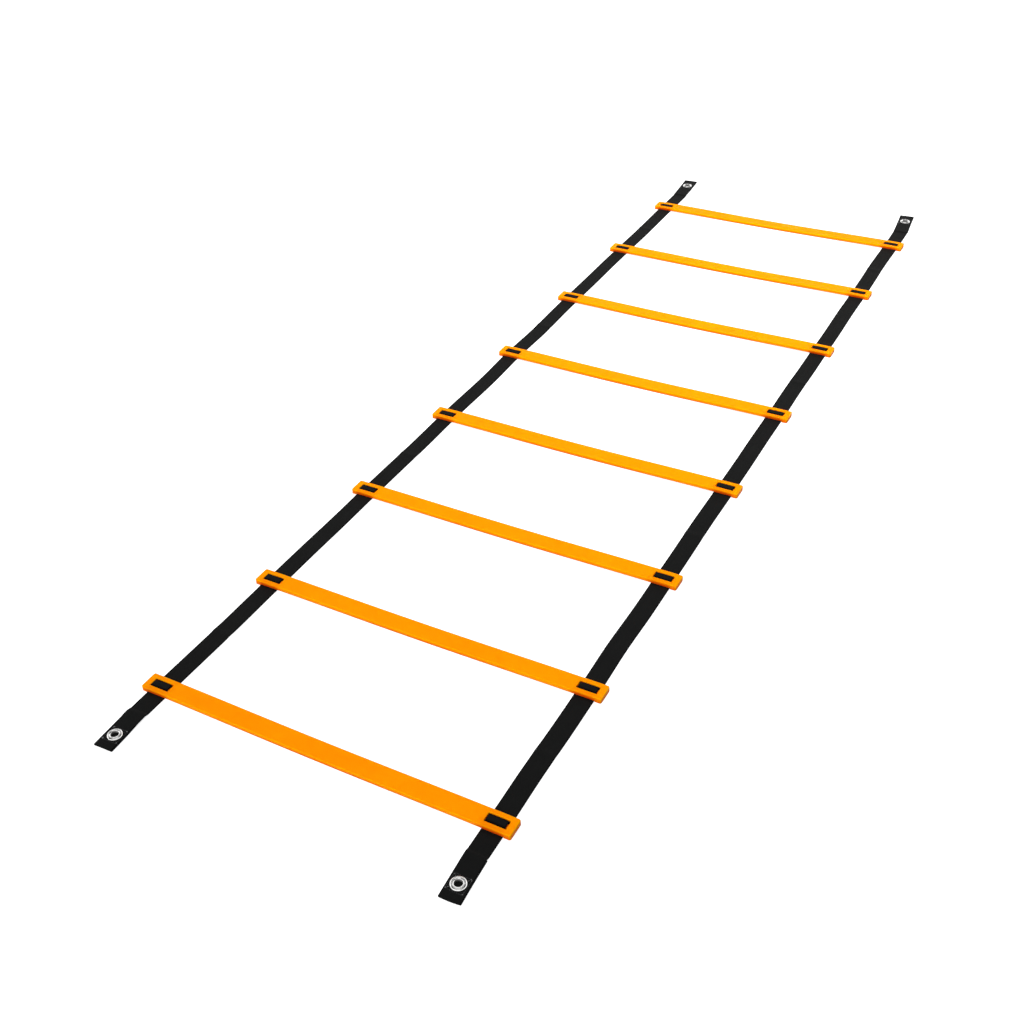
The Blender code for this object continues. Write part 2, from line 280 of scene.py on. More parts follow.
# Studio: a pale floor, a soft key from the front, a little more light at the far end
studio = {
    "ambient": 0.20,
    "keyStrength": 2.52,
    "keySpread": 50,  # degrees
    "keyFrom": (-0.34, -1.0, 0.98),  # only its direction counts
    "farPower": 19.5,
    "farPlace": (0.12, 0.44, 1.40),
    "farAim": (0.10, 0.44, 0.0),
    "farSize": 0.7,
    "floorSize": 30.0,
    "floorHeight": -0.0003,  # a hair below the feet
    "floorColour": (0.66, 0.66, 0.66),
    "floorGlow": 0.72,  # only seen by the camera and in reflections
    "skyHorizon": 1.5,  # what shiny things see
    "skyMiddle": 0.13,
    "skyTurn": (0.56, 0.68),
    "skyTop": 0.92,  # a broad soft light straight above, on top of the middle
    "skyTopTurn": (0.88, 0.96),
    "skyBehind": 1.4,  # where the key comes from
    "skyBehindTurn": (-0.35, -0.65),
}


def seenDirectly(tree):
    # 1 for what the camera sees by itself or in a mirror, 0 for the light that falls on things
    rays = addNode(tree, "LightPath").outputs
    seen = maths(tree, "MAXIMUM", rays["Is Camera Ray"], rays["Is Glossy Ray"])
    return maths(tree, "MAXIMUM", seen, rays["Is Transmission Ray"]), rays["Is Camera Ray"]


def whiteLight(tree, strength):
    return addNode(tree, "Background", {"Color": (1.0, 1.0, 1.0, 1.0), "Strength": strength}).outputs[0]


def addSky():
    # an even light on things, a graded one for mirrors, and plain white behind all for the camera
    world = bpy.data.worlds.new("studio")
    scene.world = world
    tree = emptyTree(world)
    seen, byCamera = seenDirectly(tree)
    position = addNode(tree, "NewGeometry").outputs["Position"]
    direction = addNode(tree, "SeparateXYZ", {0: position}).outputs
    ends = studio["skyHorizon"], studio["skyMiddle"]
    sky = ramp(tree, direction["Z"], *studio["skyTurn"], *ends, smooth=True)
    above = ramp(tree, direction["Z"], *studio["skyTopTurn"], 0.0, studio["skyTop"], smooth=True)
    behind = ramp(tree, direction["Y"], *studio["skyBehindTurn"], 0.0, studio["skyBehind"], smooth=True)
    mirrored = whiteLight(tree, maths(tree, "MAXIMUM", plus(tree, sky, above), behind))
    lit = addNode(tree, "MixShader", {0: seen, 1: whiteLight(tree, studio["ambient"]), 2: mirrored})
    whole = addNode(tree, "MixShader", {0: byCamera, 1: lit.outputs[0], 2: whiteLight(tree, 1.0)})
    addOutput(tree, "World", whole.outputs[0])


def addLamp(name, kind, power, place, target):
    # hidden from mirrors, which see the sky only
    light = bpy.data.lights.new(name, kind)
    light.energy = power
    lamp = addObject(light)
    lamp.location = place
    lamp.rotation_euler = (Vector(target) - lamp.location).to_track_quat("-Z", "Y").to_euler()
    lamp.visible_glossy = False
    return light


def addFloor():
    half, z = studio["floorSize"] / 2, studio["floorHeight"]
    corners = [(-half, -half, z), (half, -half, z), (half, half, z), (-half, half, z)]
    material = bpy.data.materials.new("paleFloor")
    tree = emptyTree(material)
    matt = addNode(tree, "BsdfDiffuse", {"Color": (*studio["floorColour"], 1.0)})
    glow = times(tree, seenDirectly(tree)[0], studio["floorGlow"])
    glow = addNode(tree, "Emission", {"Strength": glow})
    both = addNode(tree, "AddShader", {0: matt.outputs[0], 1: glow.outputs[0]})
    addOutput(tree, "Material", both.outputs[0])
    floor = addObject(newMesh("floor", corners, [(0, 1, 2, 3)]), material)


addSky()
keyLight = addLamp("key", "SUN", studio["keyStrength"], studio["keyFrom"], (0.0, 0.0, 0.0))
keyLight.angle = radians(studio["keySpread"])
farLight = addLamp("farSoft", "AREA", studio["farPower"], studio["farPlace"], studio["farAim"])
farLight.size = studio["farSize"]
addFloor()
print("studio set")


# Moulded rungs
rungShape = {
    "footDrop": 0.0018,
    "footStart": 0.2415,
    "windowStart": 0.2147,  # the windows reach from here to the feet
    "windowHalf": 0.0062,
    "barHalf": 0.0031,
    "barTop": 0.0045,
    "corner": 0.0025,
    "cornerSteps": 7,
    "topEdge": 0.0012,
    "windowEdge": 0.0007,
    "underEdge": 0.0002,
    "edgeSteps": 4,
    "stationStep": 0.015,
    "sags": (0.0017, 0.0017, 0.0015, 0.0018, 0.0018, 0.0018, 0.0018, 0.0018),  # at their middles
}
plasticLook = {
    "colour": (1.0, 0.300, 0.0),
    "deepColour": (1.0, 0.268, 0.0),
    # paleColour goes on the rounded edges: partly stress-whitened wear, partly a painted highlight
    "paleColour": (1.0, 0.450, 0.0),
    "bridgeShadeColour": (0.86, 0.232, 0.0),  # painted shade where black webbing lies under the plastic and keeps the floor's light from it
    "wallShadeColour": (0.70, 0.070, 0.0),  # painted shade, low down on the walls there
    "bridge": (0.2050, 0.2190, 0.2370, 0.2460),  # from the middle of the rung: fades in, then out
    "bridgeAcross": (-0.004, 0.005, 0.3),  # full up to the first, down to the third at the second
    "bridgeRimCut": 0.75,  # how much less the pale edges show there
    # painted shade on the walls over the webbing: none above the first height, full below the second
    "wall": (0.0066, 0.0032),
    "wallEnd": 0.4,  # how much of it goes on to the feet
    "lowest": (0.0034, 0.0012),  # painted shade: the walls get a deeper colour there, all along
    "lowestShare": 0.62,
    "roughness": (0.40, 0.54),
    "wornRoughness": 0.12,
    "specular": 0.028,
    "depthShare": 0.45,  # how much of the light goes into the plastic and out again
    "depth": 0.0022,
    "depthColours": (1.0, 0.30, 0.08),
    "toneTurn": (0.38, 0.62),
    "cloudScale": 9.0,
    "mottleScale": 55.0,
    "flowScale": (2.5, 140.0, 140.0),
    "grainScale": 2600.0,
    "grainDepth": 0.00004,
    "scuffScale": 420.0,
    "scuffTurn": (0.35, 0.65, 0.55, 1.0),
}


def paintedShadeShares(tree):
    # the ends of a rung pass over black webbing, which shows through and takes the light from below: painted
    # shade there, and painted shade low down on the walls
    look = plasticLook
    onRung = addNode(tree, "Attribute", attribute_name="onRung").outputs["Vector"]
    parts = addNode(tree, "SeparateXYZ", {0: onRung}).outputs
    out = maths(tree, "ABSOLUTE", parts["X"])
    start, full, fade, end = look["bridge"]
    begin = ramp(tree, out, start, full, smooth=True)
    bridge = times(tree, begin, ramp(tree, out, fade, end, 1.0, 0.0, smooth=True))
    wall = times(tree, begin, ramp(tree, out, fade, end, 1.0, look["wallEnd"], smooth=True))
    near, far, farShare = look["bridgeAcross"]
    front = ramp(tree, parts["Y"], near, far, 1.0, farShare, smooth=True)
    low = ramp(tree, parts["Z"], *look["wall"], smooth=True)
    lowest = ramp(tree, parts["Z"], *look["lowest"], 0.0, look["lowestShare"], smooth=True)
    return times(tree, bridge, front), maths(tree, "MAXIMUM", times(tree, wall, low), lowest)


def makePlastic():
    look = plasticLook
    material, tree, shader = newMaterial("orangePlastic")
    place = addNode(tree, "TexCoord").outputs["Object"]
    clouds = noise(tree, place, look["cloudScale"], 3.0)
    mottle = noise(tree, place, look["mottleScale"], 4.0, 0.6)
    flow = noise(tree, stretch(tree, place, look["flowScale"]), 1.0, 4.0, 0.6)
    tone = plus(tree, times(tree, clouds, 0.5), times(tree, mottle, 0.25))
    tone = ramp(tree, plus(tree, tone, times(tree, flow, 0.25)), *look["toneTurn"])
    colour = mixColours(tree, tone, look["deepColour"], look["colour"])
    scuffs = noise(tree, place, look["scuffScale"], 4.0, 0.65)
    # pale rounded edges, broken up by scuffs: partly wear, partly a painted highlight
    worn = times(tree, pointValue(tree, "rim"), ramp(tree, scuffs, *look["scuffTurn"]))
    # painted shade over the webbing, and low down on the walls
    bridge, low = paintedShadeShares(tree)
    worn = times(tree, worn, maths(tree, "SUBTRACT", 1.0, times(tree, bridge, look["bridgeRimCut"])))
    for share, name in ((bridge, "bridgeShadeColour"), (worn, "paleColour"), (low, "wallShadeColour")):
        colour = mixColours(tree, share, colour, look[name])
    sheen = ramp(tree, flow, 0.3, 0.7, *look["roughness"])
    grain = plus(tree, noise(tree, place, look["grainScale"], 1.0), times(tree, flow, 0.6))
    plug(tree, shader, {
        "Base Color": colour,
        "Roughness": plus(tree, sheen, times(tree, worn, look["wornRoughness"])),
        "Specular IOR Level": look["specular"],
        "Subsurface Weight": look["depthShare"],
        "Subsurface Radius": look["depthColours"],
        "Subsurface Scale": look["depth"],
        "Normal": relief(tree, 0.5, look["grainDepth"], grain),
    })
    return material


def rungIsSolid(x, y, z):
    # whether a cell of the rung, told by its middle, is plastic
    if abs(x) > rungShape["footStart"]:
        return True
    if z < rungShape["footDrop"]:
        return False
    if abs(x) < rungShape["windowStart"] or abs(y) > rungShape["windowHalf"]:
        return True
    return abs(y) < rungShape["barHalf"] and z < rungShape["barTop"]


def rungSkin(name, grid):
    # the closed skin of the solid cells of an uneven grid
    def isSolid(cell):
        spans = [line[max(place, 0):place + 2] for place, line in zip(cell, grid)]
        inside = min(len(span) for span in spans) == 2  # one step outside, a span has a single end
        return inside and rungIsSolid(*(sum(span) / 2 for span in spans))

    corners, faces = {}, []
    for cell in product(*(range(len(line) - 1) for line in grid)):
        if not isSolid(cell):
            continue
        for axis, step in product(range(3), (0, 1)):
            beyond = list(cell)
            beyond[axis] += 2 * step - 1
            if isSolid(beyond):
                continue
            face = []
            for first, second in ((0, 0), (1, 0), (1, 1), (0, 1)):
                corner = list(cell)
                corner[axis] += step
                corner[(axis + 1) % 3] += first
                corner[(axis + 2) % 3] += second
                face.append(corners.setdefault(tuple(corner), len(corners)))
            faces.append(face if step else face[::-1])
    verts = [[line[place] for place, line in zip(corner, grid)] for corner in corners]
    return newMesh(name, verts, faces)


def roundRungCorners(shape, halfLength, halfWidth):
    picked = []
    for edge in shape.edges:
        first, second = (vert.co for vert in edge.verts)
        upright = abs(first.z - second.z) > touching
        atEnd = abs(abs(first.x) - halfLength) < touching
        if upright and atEnd and abs(abs(first.y) - halfWidth) < touching:
            picked.append(edge)
    bmesh.ops.bevel(
        shape, geom=picked, offset=rungShape["corner"], segments=rungShape["cornerSteps"],
        profile=0.5, affect="EDGES", clamp_overlap=False,
    )


def weighRungEdges(shape, top):
    # how far each edge of the moulding is rounded off, as a share of the top edge's rounding
    layer = shape.edges.layers.float.new("bevel_weight_edge")
    for edge in shape.edges:
        if len(edge.link_faces) != 2:
            continue
        first, second = edge.link_faces
        if first.normal.angle(second.normal) < radians(30):
            continue
        middle = (edge.verts[0].co + edge.verts[1].co) / 2
        kind = "topEdge" if middle.z > top - touching else "underEdge"
        inLength = abs(middle.x) < rungShape["footStart"] + touching
        if inLength and abs(middle.y) < rungShape["windowHalf"] + touching:
            kind = "windowEdge"
        edge[layer] = rungShape[kind] / rungShape["topEdge"]


def markRung(mesh, place):
    # rim: 1 on the rounded edges, 0 on the flats; onRung: place measured from the rung's middle
    facings = [max(abs(part) for part in vert.normal) for vert in mesh.vertices]
    markPoints(mesh, "rim", [1 - smoothStep((facing - 0.86) / 0.13) for facing in facings])
    onRung = mesh.attributes.new("onRung", "FLOAT_VECTOR", "POINT")
    for vert, value in zip(mesh.vertices, onRung.data):
        value.vector = (vert.co.x, vert.co.y - place, vert.co.z)


def makeRung(number, material):
    low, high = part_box(f"rung_{number}")
    halfLength, halfWidth, top = high.x, (high.y - low.y) / 2, high.z
    inner, outer = rungShape["windowStart"], rungShape["footStart"]
    span = spaced(-inner, inner, rungShape["stationStep"])
    xs = [-halfLength, -outer, *span, outer, halfLength]
    ys = [-halfWidth, -rungShape["windowHalf"], -rungShape["barHalf"]]
    ys += [-value for value in reversed(ys)]
    zs = [low.z, rungShape["footDrop"], rungShape["barTop"], top]
    mesh = rungSkin(f"moulded_rung_{number}", (xs, ys, zs))
    shape = bmesh.new()
    shape.from_mesh(mesh)
    roundRungCorners(shape, halfLength, halfWidth)
    shape.normal_update()
    weighRungEdges(shape, top)
    sag = rungShape["sags"][number - 1]
    for vert in shape.verts:
        share = min(abs(vert.co.x) / inner, 1.0)
        vert.co.z -= sag * (1 - share * share) ** 2
        vert.co.y += (low.y + high.y) / 2
    shape.to_mesh(mesh)
    shape.free()
    mesh.shade_smooth()
    rung = addObject(mesh)
    edges = rung.modifiers.new("rounded edges", "BEVEL")
    edges.width = rungShape["topEdge"]
    edges.segments = rungShape["edgeSteps"]
    edges.limit_method = "WEIGHT"
    edges.use_clamp_overlap = False
    rung.modifiers.new("even shading", "WEIGHTED_NORMAL").weight = 90
    mesh = bakeModifiers(rung)
    markRung(mesh, rungPlaces[number - 1])
    mesh.materials.append(material)
    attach(rung, f"slider_{number}")
    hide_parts(f"rung_{number}")


plastic = makePlastic()
for number in range(1, rungCount + 1):
    makeRung(number, plastic)
print("rungs made")


# Webbing: two straps, the loops over the rungs' bars, and the hemmed ends
webbing = {
    "width": 0.026,
    "thickness": 0.0015,
    "edgeRound": 0.0006,
    "edgeSteps": 3,
    "edgeThin": 0.10,  # how much thinner the selvedge is
    "columns": 18,
    "hemColumns": 26,
    "coarseStep": 0.007,
    "fineStep": 0.0007,
    "foldReach": (0.0044, 0.0052),  # half the length that bends, at folds above and below
    "foldMargin": 0.002,  # how far the fine steps go on beyond it
    "foldLift": 0.0006,
    "liftReach": 0.010,
    "bows": {  # inwards from the straight line, in the first and the second half of each stretch
        "left": (
            (0.0005, 0.0009), (-0.0003, 0.0006), (0.0002, 0.0012), (0.0013, 0.0022),
            (0.0024, 0.0009), (0.0005, -0.0003), (0.0011, 0.0006),
        ),
        "right": (
            (0.0011, -0.0003), (0.0018, -0.0003), (0.0002, 0.0009), (-0.0003, 0.0004),
            (0.0010, -0.0002), (-0.0003, 0.0008), (0.0004, 0.0014),
        ),
    },
}
webbingLook = {
    "colour": (0.0076, 0.0078, 0.0076),
    # deepColour: the darkest tone, in the painted shade between the floats and in the mottle
    "deepColour": (0.0030, 0.0031, 0.0031),
    # the selvedges' colour, also used for the painted shade on the loops
    "selvedgeAndShadeColour": (0.0016, 0.0017, 0.0018),
    "edge": (0.0113, 0.0124),  # where the selvedge starts, from the middle, and where it is full
    "yarn": 0.00130,  # width of one rib
    "pick": 0.00170,  # length of one float along a rib
    "slant": 0.5,
    "ribPower": 0.5,  # below 1 the yarns are flat on top
    "floatPower": 0.6,
    "weaveDepth": 0.00012,
    "fibreScale": (9000.0, 1500.0, 1.0),
    "mottleScale": 240.0,
    "patchScale": 28.0,
    "roughness": (0.62, 0.80),
    "specular": 0.035,
    "fuzz": 0.013,
}


def makeWebbingMaterial():
    look = webbingLook
    material, tree, shader = newMaterial("blackWebbing")
    flat = addNode(tree, "UVMap", uv_map="weave").outputs["UV"]
    parts = addNode(tree, "SeparateXYZ", {0: flat}).outputs
    # ribs along the strap, each with its own row of slanted floats
    ribs = maths(tree, "DIVIDE", parts["X"], look["yarn"])
    phase = maths(tree, "FRACT", ribs)
    side = maths(tree, "MODULO", maths(tree, "ABSOLUTE", maths(tree, "FLOOR", ribs)), 2.0)
    lean = times(tree, maths(tree, "SUBTRACT", times(tree, side, 2.0), 1.0), look["slant"])
    floats = plus(tree, maths(tree, "DIVIDE", parts["Y"], look["pick"]), times(tree, phase, lean))
    floats = plus(tree, floats, times(tree, side, 0.5))
    ribRound = maths(tree, "SINE", times(tree, phase, pi))
    floatRound = maths(tree, "ABSOLUTE", maths(tree, "SINE", times(tree, floats, pi)))
    floatRound = maths(tree, "POWER", floatRound, look["floatPower"])
    weave = times(tree, maths(tree, "POWER", ribRound, look["ribPower"]), floatRound)
    fibre = noise(tree, stretch(tree, flat, look["fibreScale"]), 1.0, 2.0)
    weave = plus(tree, weave, times(tree, fibre, 0.25))
    # colour: painted shade between the floats, darker at the selvedge, and a slow mottle
    mottle = noise(tree, flat, look["mottleScale"], 4.0, 0.65)
    patches = noise(tree, flat, look["patchScale"], 3.0)
    tone = times(
        tree, ramp(tree, weave, 0.15, 1.1, 0.35, 1.0),
        ramp(tree, mottle, 0.3, 0.7, 0.72, 1.15), ramp(tree, patches, 0.3, 0.7, 0.85, 1.1),
    )
    body = mixColours(tree, tone, look["deepColour"], look["colour"])
    edge = ramp(tree, maths(tree, "ABSOLUTE", parts["X"]), *look["edge"], smooth=True)
    # darker selvedges, and the painted shade that the loops carry
    dark = maths(tree, "MAXIMUM", edge, pointValue(tree, "paintedShade"))
    plug(tree, shader, {
        "Base Color": mixColours(tree, dark, body, look["selvedgeAndShadeColour"]),
        "Roughness": ramp(tree, mottle, 0.3, 0.7, *look["roughness"]),
        "Specular IOR Level": look["specular"],
        "Sheen Weight": look["fuzz"],
        "Sheen Roughness": 0.5,
        "Normal": relief(tree, 0.8, look["weaveDepth"], weave),
    })
    return material


def webbingRing(width, columns):
    # section of the webbing: (sideways, through, distance from the middle along the surface)
    half, thick, curve = width / 2, webbing["thickness"] / 2, webbing["edgeRound"]
    flat = half - curve
    top = []
    for side in spaced(-flat, flat, 2 * flat / columns):
        thin = 1 - webbing["edgeThin"] * abs(side / half) ** 8
        top.append((side, thick * thin, side))
    edge, steps = [], webbing["edgeSteps"]
    edgeThick = thick * (1 - webbing["edgeThin"])
    for step in range(1, steps + 1):
        angle = radians(90 * step / (steps + 0.5))
        through = edgeThick - curve * (1 - cos(angle))
        edge.append((flat + curve * sin(angle), through, flat + curve * angle))
    right = edge + [(side, -through, wrap) for side, through, wrap in reversed(edge)]
    bottom = [(side, -through, wrap) for side, through, wrap in reversed(top)]
    left = [(-side, -through, -wrap) for side, through, wrap in right]
    return top + right + bottom + left


def sweepStrip(name, path, ring, middle):
    # path: (along, height, mark, sideways, thickness share); mark is the woven length so far
    verts, marks = [], []
    for index, (along, height, mark, sideways, thick) in enumerate(path):
        before, after = path[max(index - 1, 0)], path[min(index + 1, len(path) - 1)]
        run, rise = after[0] - before[0], after[1] - before[1]
        length = hypot(run, rise)
        for side, through, wrap in ring:
            offset = through * thick / length
            verts.append((middle + sideways + side, along - offset * rise, height + offset * run))
            marks.append((wrap, mark))
    mesh = newMesh(name, verts, ringFaces(len(path), len(ring)))
    uv = mesh.uv_layers.new(name="weave")
    for loop, value in zip(mesh.loops, uv.data):
        value.uv = marks[loop.vertex_index]
    return mesh


def bowOf(side, bay, along):
    # how far the strap strays sideways between two rungs, towards the middle of the ladder
    start, end = rungPlaces[bay], rungPlaces[bay + 1]
    share = min(max((along - start) / (end - start), 0.0), 1.0)
    inwards = -1 if side == "right" else 1
    first, second = webbing["bows"][side][bay]
    bow = first + (second - first) * smoothStep(1.6 * share - 0.3)
    return inwards * bow * sin(pi * share) ** 2


def liftOf(bay, along):
    # the low crease that stays where the strap is folded over the rungs
    if bay % 2:
        return 0.0
    distance = abs(along - foldPlaces[bay].y)
    return webbing["foldLift"] * (1 - smoothStep(distance / webbing["liftReach"]))


def bayMarks(bay, start, end):
    # places along the strap, close together where it folds
    fold = foldPlaces[bay].y
    reach = webbing["foldReach"][bay % 2] + webbing["foldMargin"]
    marks = spaced(start, fold - reach, webbing["coarseStep"])
    marks += spaced(fold - reach, fold + reach, webbing["fineStep"])[1:]
    return marks + spaced(fold + reach, end, webbing["coarseStep"])[1:]


def flatPath(side, bay, start, end):
    middle = webbing["thickness"] / 2
    path = []
    for along in bayMarks(bay, start, end):
        path.append((along, middle + liftOf(bay, along), along, bowOf(side, bay, along), 1.0))
    return path


# Hemmed ends: the webbing is turned under at the tip and sewn down around an eyelet
hem = {
    "lengths": {"near": 0.060, "far": 0.075},
    "ramp": 0.0055,
    "layer": 0.00136,  # thickness of each sewn layer
    "gap": 0.00008,
    # how far the turned-under layer strays from the one above, and the hem from the strap's line
    "peeks": {"near_left": -0.0017, "near_right": 0.0004, "far_left": -0.0011, "far_right": 0.0005},
    "leans": {"near_left": 0.00260, "near_right": 0.00325, "far_left": -0.00650, "far_right": -0.00702},
    "leanRound": 0.003,  # how softly the lean begins
    "noseSteps": 9,
    "underStep": 0.0012,
    "fineStep": 0.0009,
    "rampStep": 0.0006,
    "holeRadius": 0.00515,
    "flangeRadius": 0.0094,
    "flangePress": 0.0009,
    "stitchDent": 0.00028,
    "stitchDentWidth": 0.00055,
    "crossStart": 0.0095,  # from the eyelet's middle, where the cross and the pillow begin
    "pillowStart": 0.0096,
    "pillow": 0.00012,
    "tipWave": 0.0005,
    "tipReach": 0.012,
    "slantReach": 0.020,
}
stitchBox = {
    "size": 0.0205,
    "stitch": 0.00265,
    "gap": 0.00045,
    "radius": 0.00030,
    "rings": 7,
    "spokes": 8,
    "sink": 0.00012,  # how deep a stitch's ends lie
    "rise": 0.00026,  # how far its middle stands above them
    "skew": 0.00012,
}


def eyeletPlace(name):
    return middleOf(f"{name}_eyelet")


def tipOf(end, side):
    # where the strap ends, and which way it runs from there
    low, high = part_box(f"{side}_strap_{1 if end == 'near' else rungCount}")
    return (low.y, 1) if end == "near" else (high.y, -1)


def leanOf(name, back):
    # how far the hem has swung sideways, this far back from its tip
    share = 1 - back / hem["lengths"][name.split("_")[0]]
    return hem["leans"][name] * (share + sqrt(share * share + hem["leanRound"])) / 2


def hemPath(end, side, bay):
    # from the turned-under edge to the tip, round it, and back along the top to the middle rungs
    name = f"{end}_{side}"
    tip, way = tipOf(end, side)
    length, layer = hem["lengths"][end], hem["layer"]
    under, upper = layer / 2, 1.5 * layer + hem["gap"]
    noseMiddle, noseRadius = (under + upper) / 2, (upper - under) / 2
    noseStart = layer + hem["gap"] / 2
    thin = layer / webbing["thickness"]
    turn = pi * noseRadius
    path = []
    for back in spaced(length, noseStart, hem["underStep"])[:-1]:
        share = smoothStep((back - noseStart) / (length - noseStart)) ** 3
        path.append((tip + way * back, under, tip - way * (turn + back), hem["peeks"][name] * share, thin))
    for angle in spaced(-90, 90, 180 / hem["noseSteps"]):
        turned = radians(angle)
        back = noseStart - noseRadius * cos(turned)
        height = noseMiddle + noseRadius * sin(turned)
        mark = tip + way * (noseStart - turn * (90 - angle) / 180)
        path.append((tip + way * back, height, mark, 0.0, thin))
    flat = webbing["thickness"] / 2
    rampEnd = length + hem["ramp"]
    backs = spaced(noseStart, length, hem["fineStep"])[1:]
    for back in backs + spaced(length, rampEnd, hem["rampStep"])[1:]:
        share = smoothStep((back - length) / hem["ramp"])
        height = upper + (flat - upper) * share
        path.append((tip + way * back, height, tip + way * back, 0.0, thin + (1 - thin) * share))
    start = tip + way * rampEnd
    rest = flatPath(side, bay, *((start, rungPlaces[bay + 1]) if way > 0 else (rungPlaces[bay], start)))
    path += rest[1:] if way > 0 else rest[-2::-1]
    return [(y, z, mark, stray + leanOf(name, abs(y - tip)), thick) for y, z, mark, stray, thick in path]


def dressHem(mesh, end, side):
    # stitch lines, the press of the flange underneath, and a slightly uneven fold at the tip
    name = f"{end}_{side}"
    centre = eyeletPlace(name)
    tip, way = tipOf(end, side)
    length, layer = hem["lengths"][end], hem["layer"]
    upperFace, underFace = 1.75 * layer, 0.9 * layer  # points above the first, and below the second
    half, dentWidth = stitchBox["size"] / 2, hem["stitchDentWidth"]
    phase = 1.3 * centre.x * 1000 + centre.y * 10
    for vert in mesh.vertices:
        back = abs(vert.co.y - tip)
        if back > length + hem["ramp"]:
            continue
        dx, dy = abs(vert.co.x - centre.x), abs(vert.co.y - centre.y)
        away, boxwise = hypot(dx, dy), max(dx, dy)
        if vert.co.z > upperFace:
            onCross = bell((dx - dy) / sqrt(2), dentWidth) if boxwise < half else 0.0
            onCross *= smoothStep((away - hem["crossStart"]) / 0.001)
            inside = smoothStep((half - boxwise) / 0.003) * smoothStep((away - hem["pillowStart"]) / 0.001)
            vert.co.z += hem["pillow"] * inside
            vert.co.z -= hem["stitchDent"] * max(bell(boxwise - half, dentWidth), onCross)
        elif vert.co.z < underFace:
            press = hem["flangePress"] * (1 - smoothStep((away - hem["flangeRadius"]) / 0.0014))
            vert.co.z = press + vert.co.z * (1 - press / layer)
        offCentre = vert.co.x - strapCentres[side] - leanOf(name, back)
        share = offCentre / (webbing["width"] / 2)
        wave = 0.45 * sin(2.3 * share + phase) - 0.55 * share * share
        pull = hem["tipWave"] * wave * (1 - smoothStep(back / hem["tipReach"]))
        slant = offCentre * hem["leans"][name] / length * (1 - smoothStep(back / hem["slantReach"]))
        vert.co.y += way * (slant - pull)


def punch(piece, centre):
    # a round hole straight through both layers of the hem
    radius = hem["holeRadius"]
    shape = bmesh.new()
    bmesh.ops.create_cone(shape, cap_ends=True, segments=48, radius1=radius, radius2=radius, depth=0.02)
    mesh = bpy.data.meshes.new("punch")
    shape.to_mesh(mesh)
    shape.free()
    tool = addObject(mesh)
    tool.location = (centre.x, centre.y, 0.0)
    cutter = piece.modifiers.new("hole", "BOOLEAN")
    cutter.operation = "DIFFERENCE"
    cutter.solver = "EXACT"
    cutter.object = tool
    bakeModifiers(piece)
    bpy.data.objects.remove(tool)
    bpy.data.meshes.remove(mesh)


def makeStrap(side, bay, material):
    # one length of strap, from one rung's line to the next; the end ones go on to the tip
    last = rungCount - 2
    end = "near" if bay == 0 else "far" if bay == last else None
    ring = webbingRing(webbing["width"], webbing["hemColumns"] if end else webbing["columns"])
    path = hemPath(end, side, bay) if end else flatPath(side, bay, rungPlaces[bay], rungPlaces[bay + 1])
    mesh = sweepStrip(f"{side}_webbing_{bay + 1}", path, ring, strapCentres[side])
    if end:
        dressHem(mesh, end, side)
    finishMesh(mesh, 50)
    strap = addObject(mesh)
    if end:
        punch(strap, eyeletPlace(f"{end}_{side}"))
        strap.data.set_sharp_from_angle(angle=radians(50))
    strap.data.materials.clear()
    strap.data.materials.append(material)
    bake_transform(strap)
    nodes = [f"{side}_strap_{bay + 1}"]
    if bay == last:
        nodes.append(f"{side}_strap_{rungCount}")
    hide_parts(*nodes)


webbingMaterial = makeWebbingMaterial()
for side in sides:
    for bay in range(rungCount - 1):
        makeStrap(side, bay, webbingMaterial)
print("straps made")


# Loops of webbing over the bars in the rungs' windows
loopShape = {
    "width": 0.0243,
    "columns": 24,
    "middleHalf": 0.0048,  # half its length along the strap
    "foot": 0.00165,
    "crown": 0.00625,
    "bend": 0.00070,
    "bendSteps": 6,
    "sideStep": 0.0009,
    "topStep": 0.0011,
    "belly": 0.00015,
    "droop": 0.00040,  # at the selvedges
    "shoulder": (0.0022, 0.0026),  # where its painted shade starts, from its middle, and how far that takes
    "selvedge": (0.86, 0.12),  # the same across, as shares of half its width
    "shifts": {  # sideways play of each loop in its window
        "left": (-0.0010, -0.0009, -0.0008, -0.0008, -0.0006, -0.0007, -0.0004, -0.0007),
        "right": (-0.0005, -0.0003, -0.0006, -0.0002, -0.0006, -0.0003, -0.0002, -0.0005),
    },
}


def loopPath(place):
    half, crown, bend = loopShape["middleHalf"], loopShape["crown"], loopShape["bend"]
    points = [(-half, z) for z in spaced(loopShape["foot"], crown - bend, loopShape["sideStep"])]
    points += arcPoints((-half + bend, crown - bend), bend, 180, 90, loopShape["bendSteps"])[1:]
    points += [(y, crown) for y in spaced(-half + bend, half - bend, loopShape["topStep"])[1:-1]]
    points += [(-y, z) for y, z in reversed(points) if y < -half + bend + touching]
    path, mark = [], 0.0
    for index, (y, z) in enumerate(points):
        if index:
            mark += dist((y, z), points[index - 1])
        rise = loopShape["belly"] * max(0.0, 1 - (y / half) ** 2) * smoothStep((z - 0.004) / 0.0015)
        path.append((place + y, z + rise, place + mark, 0.0, 1.0))
    return path


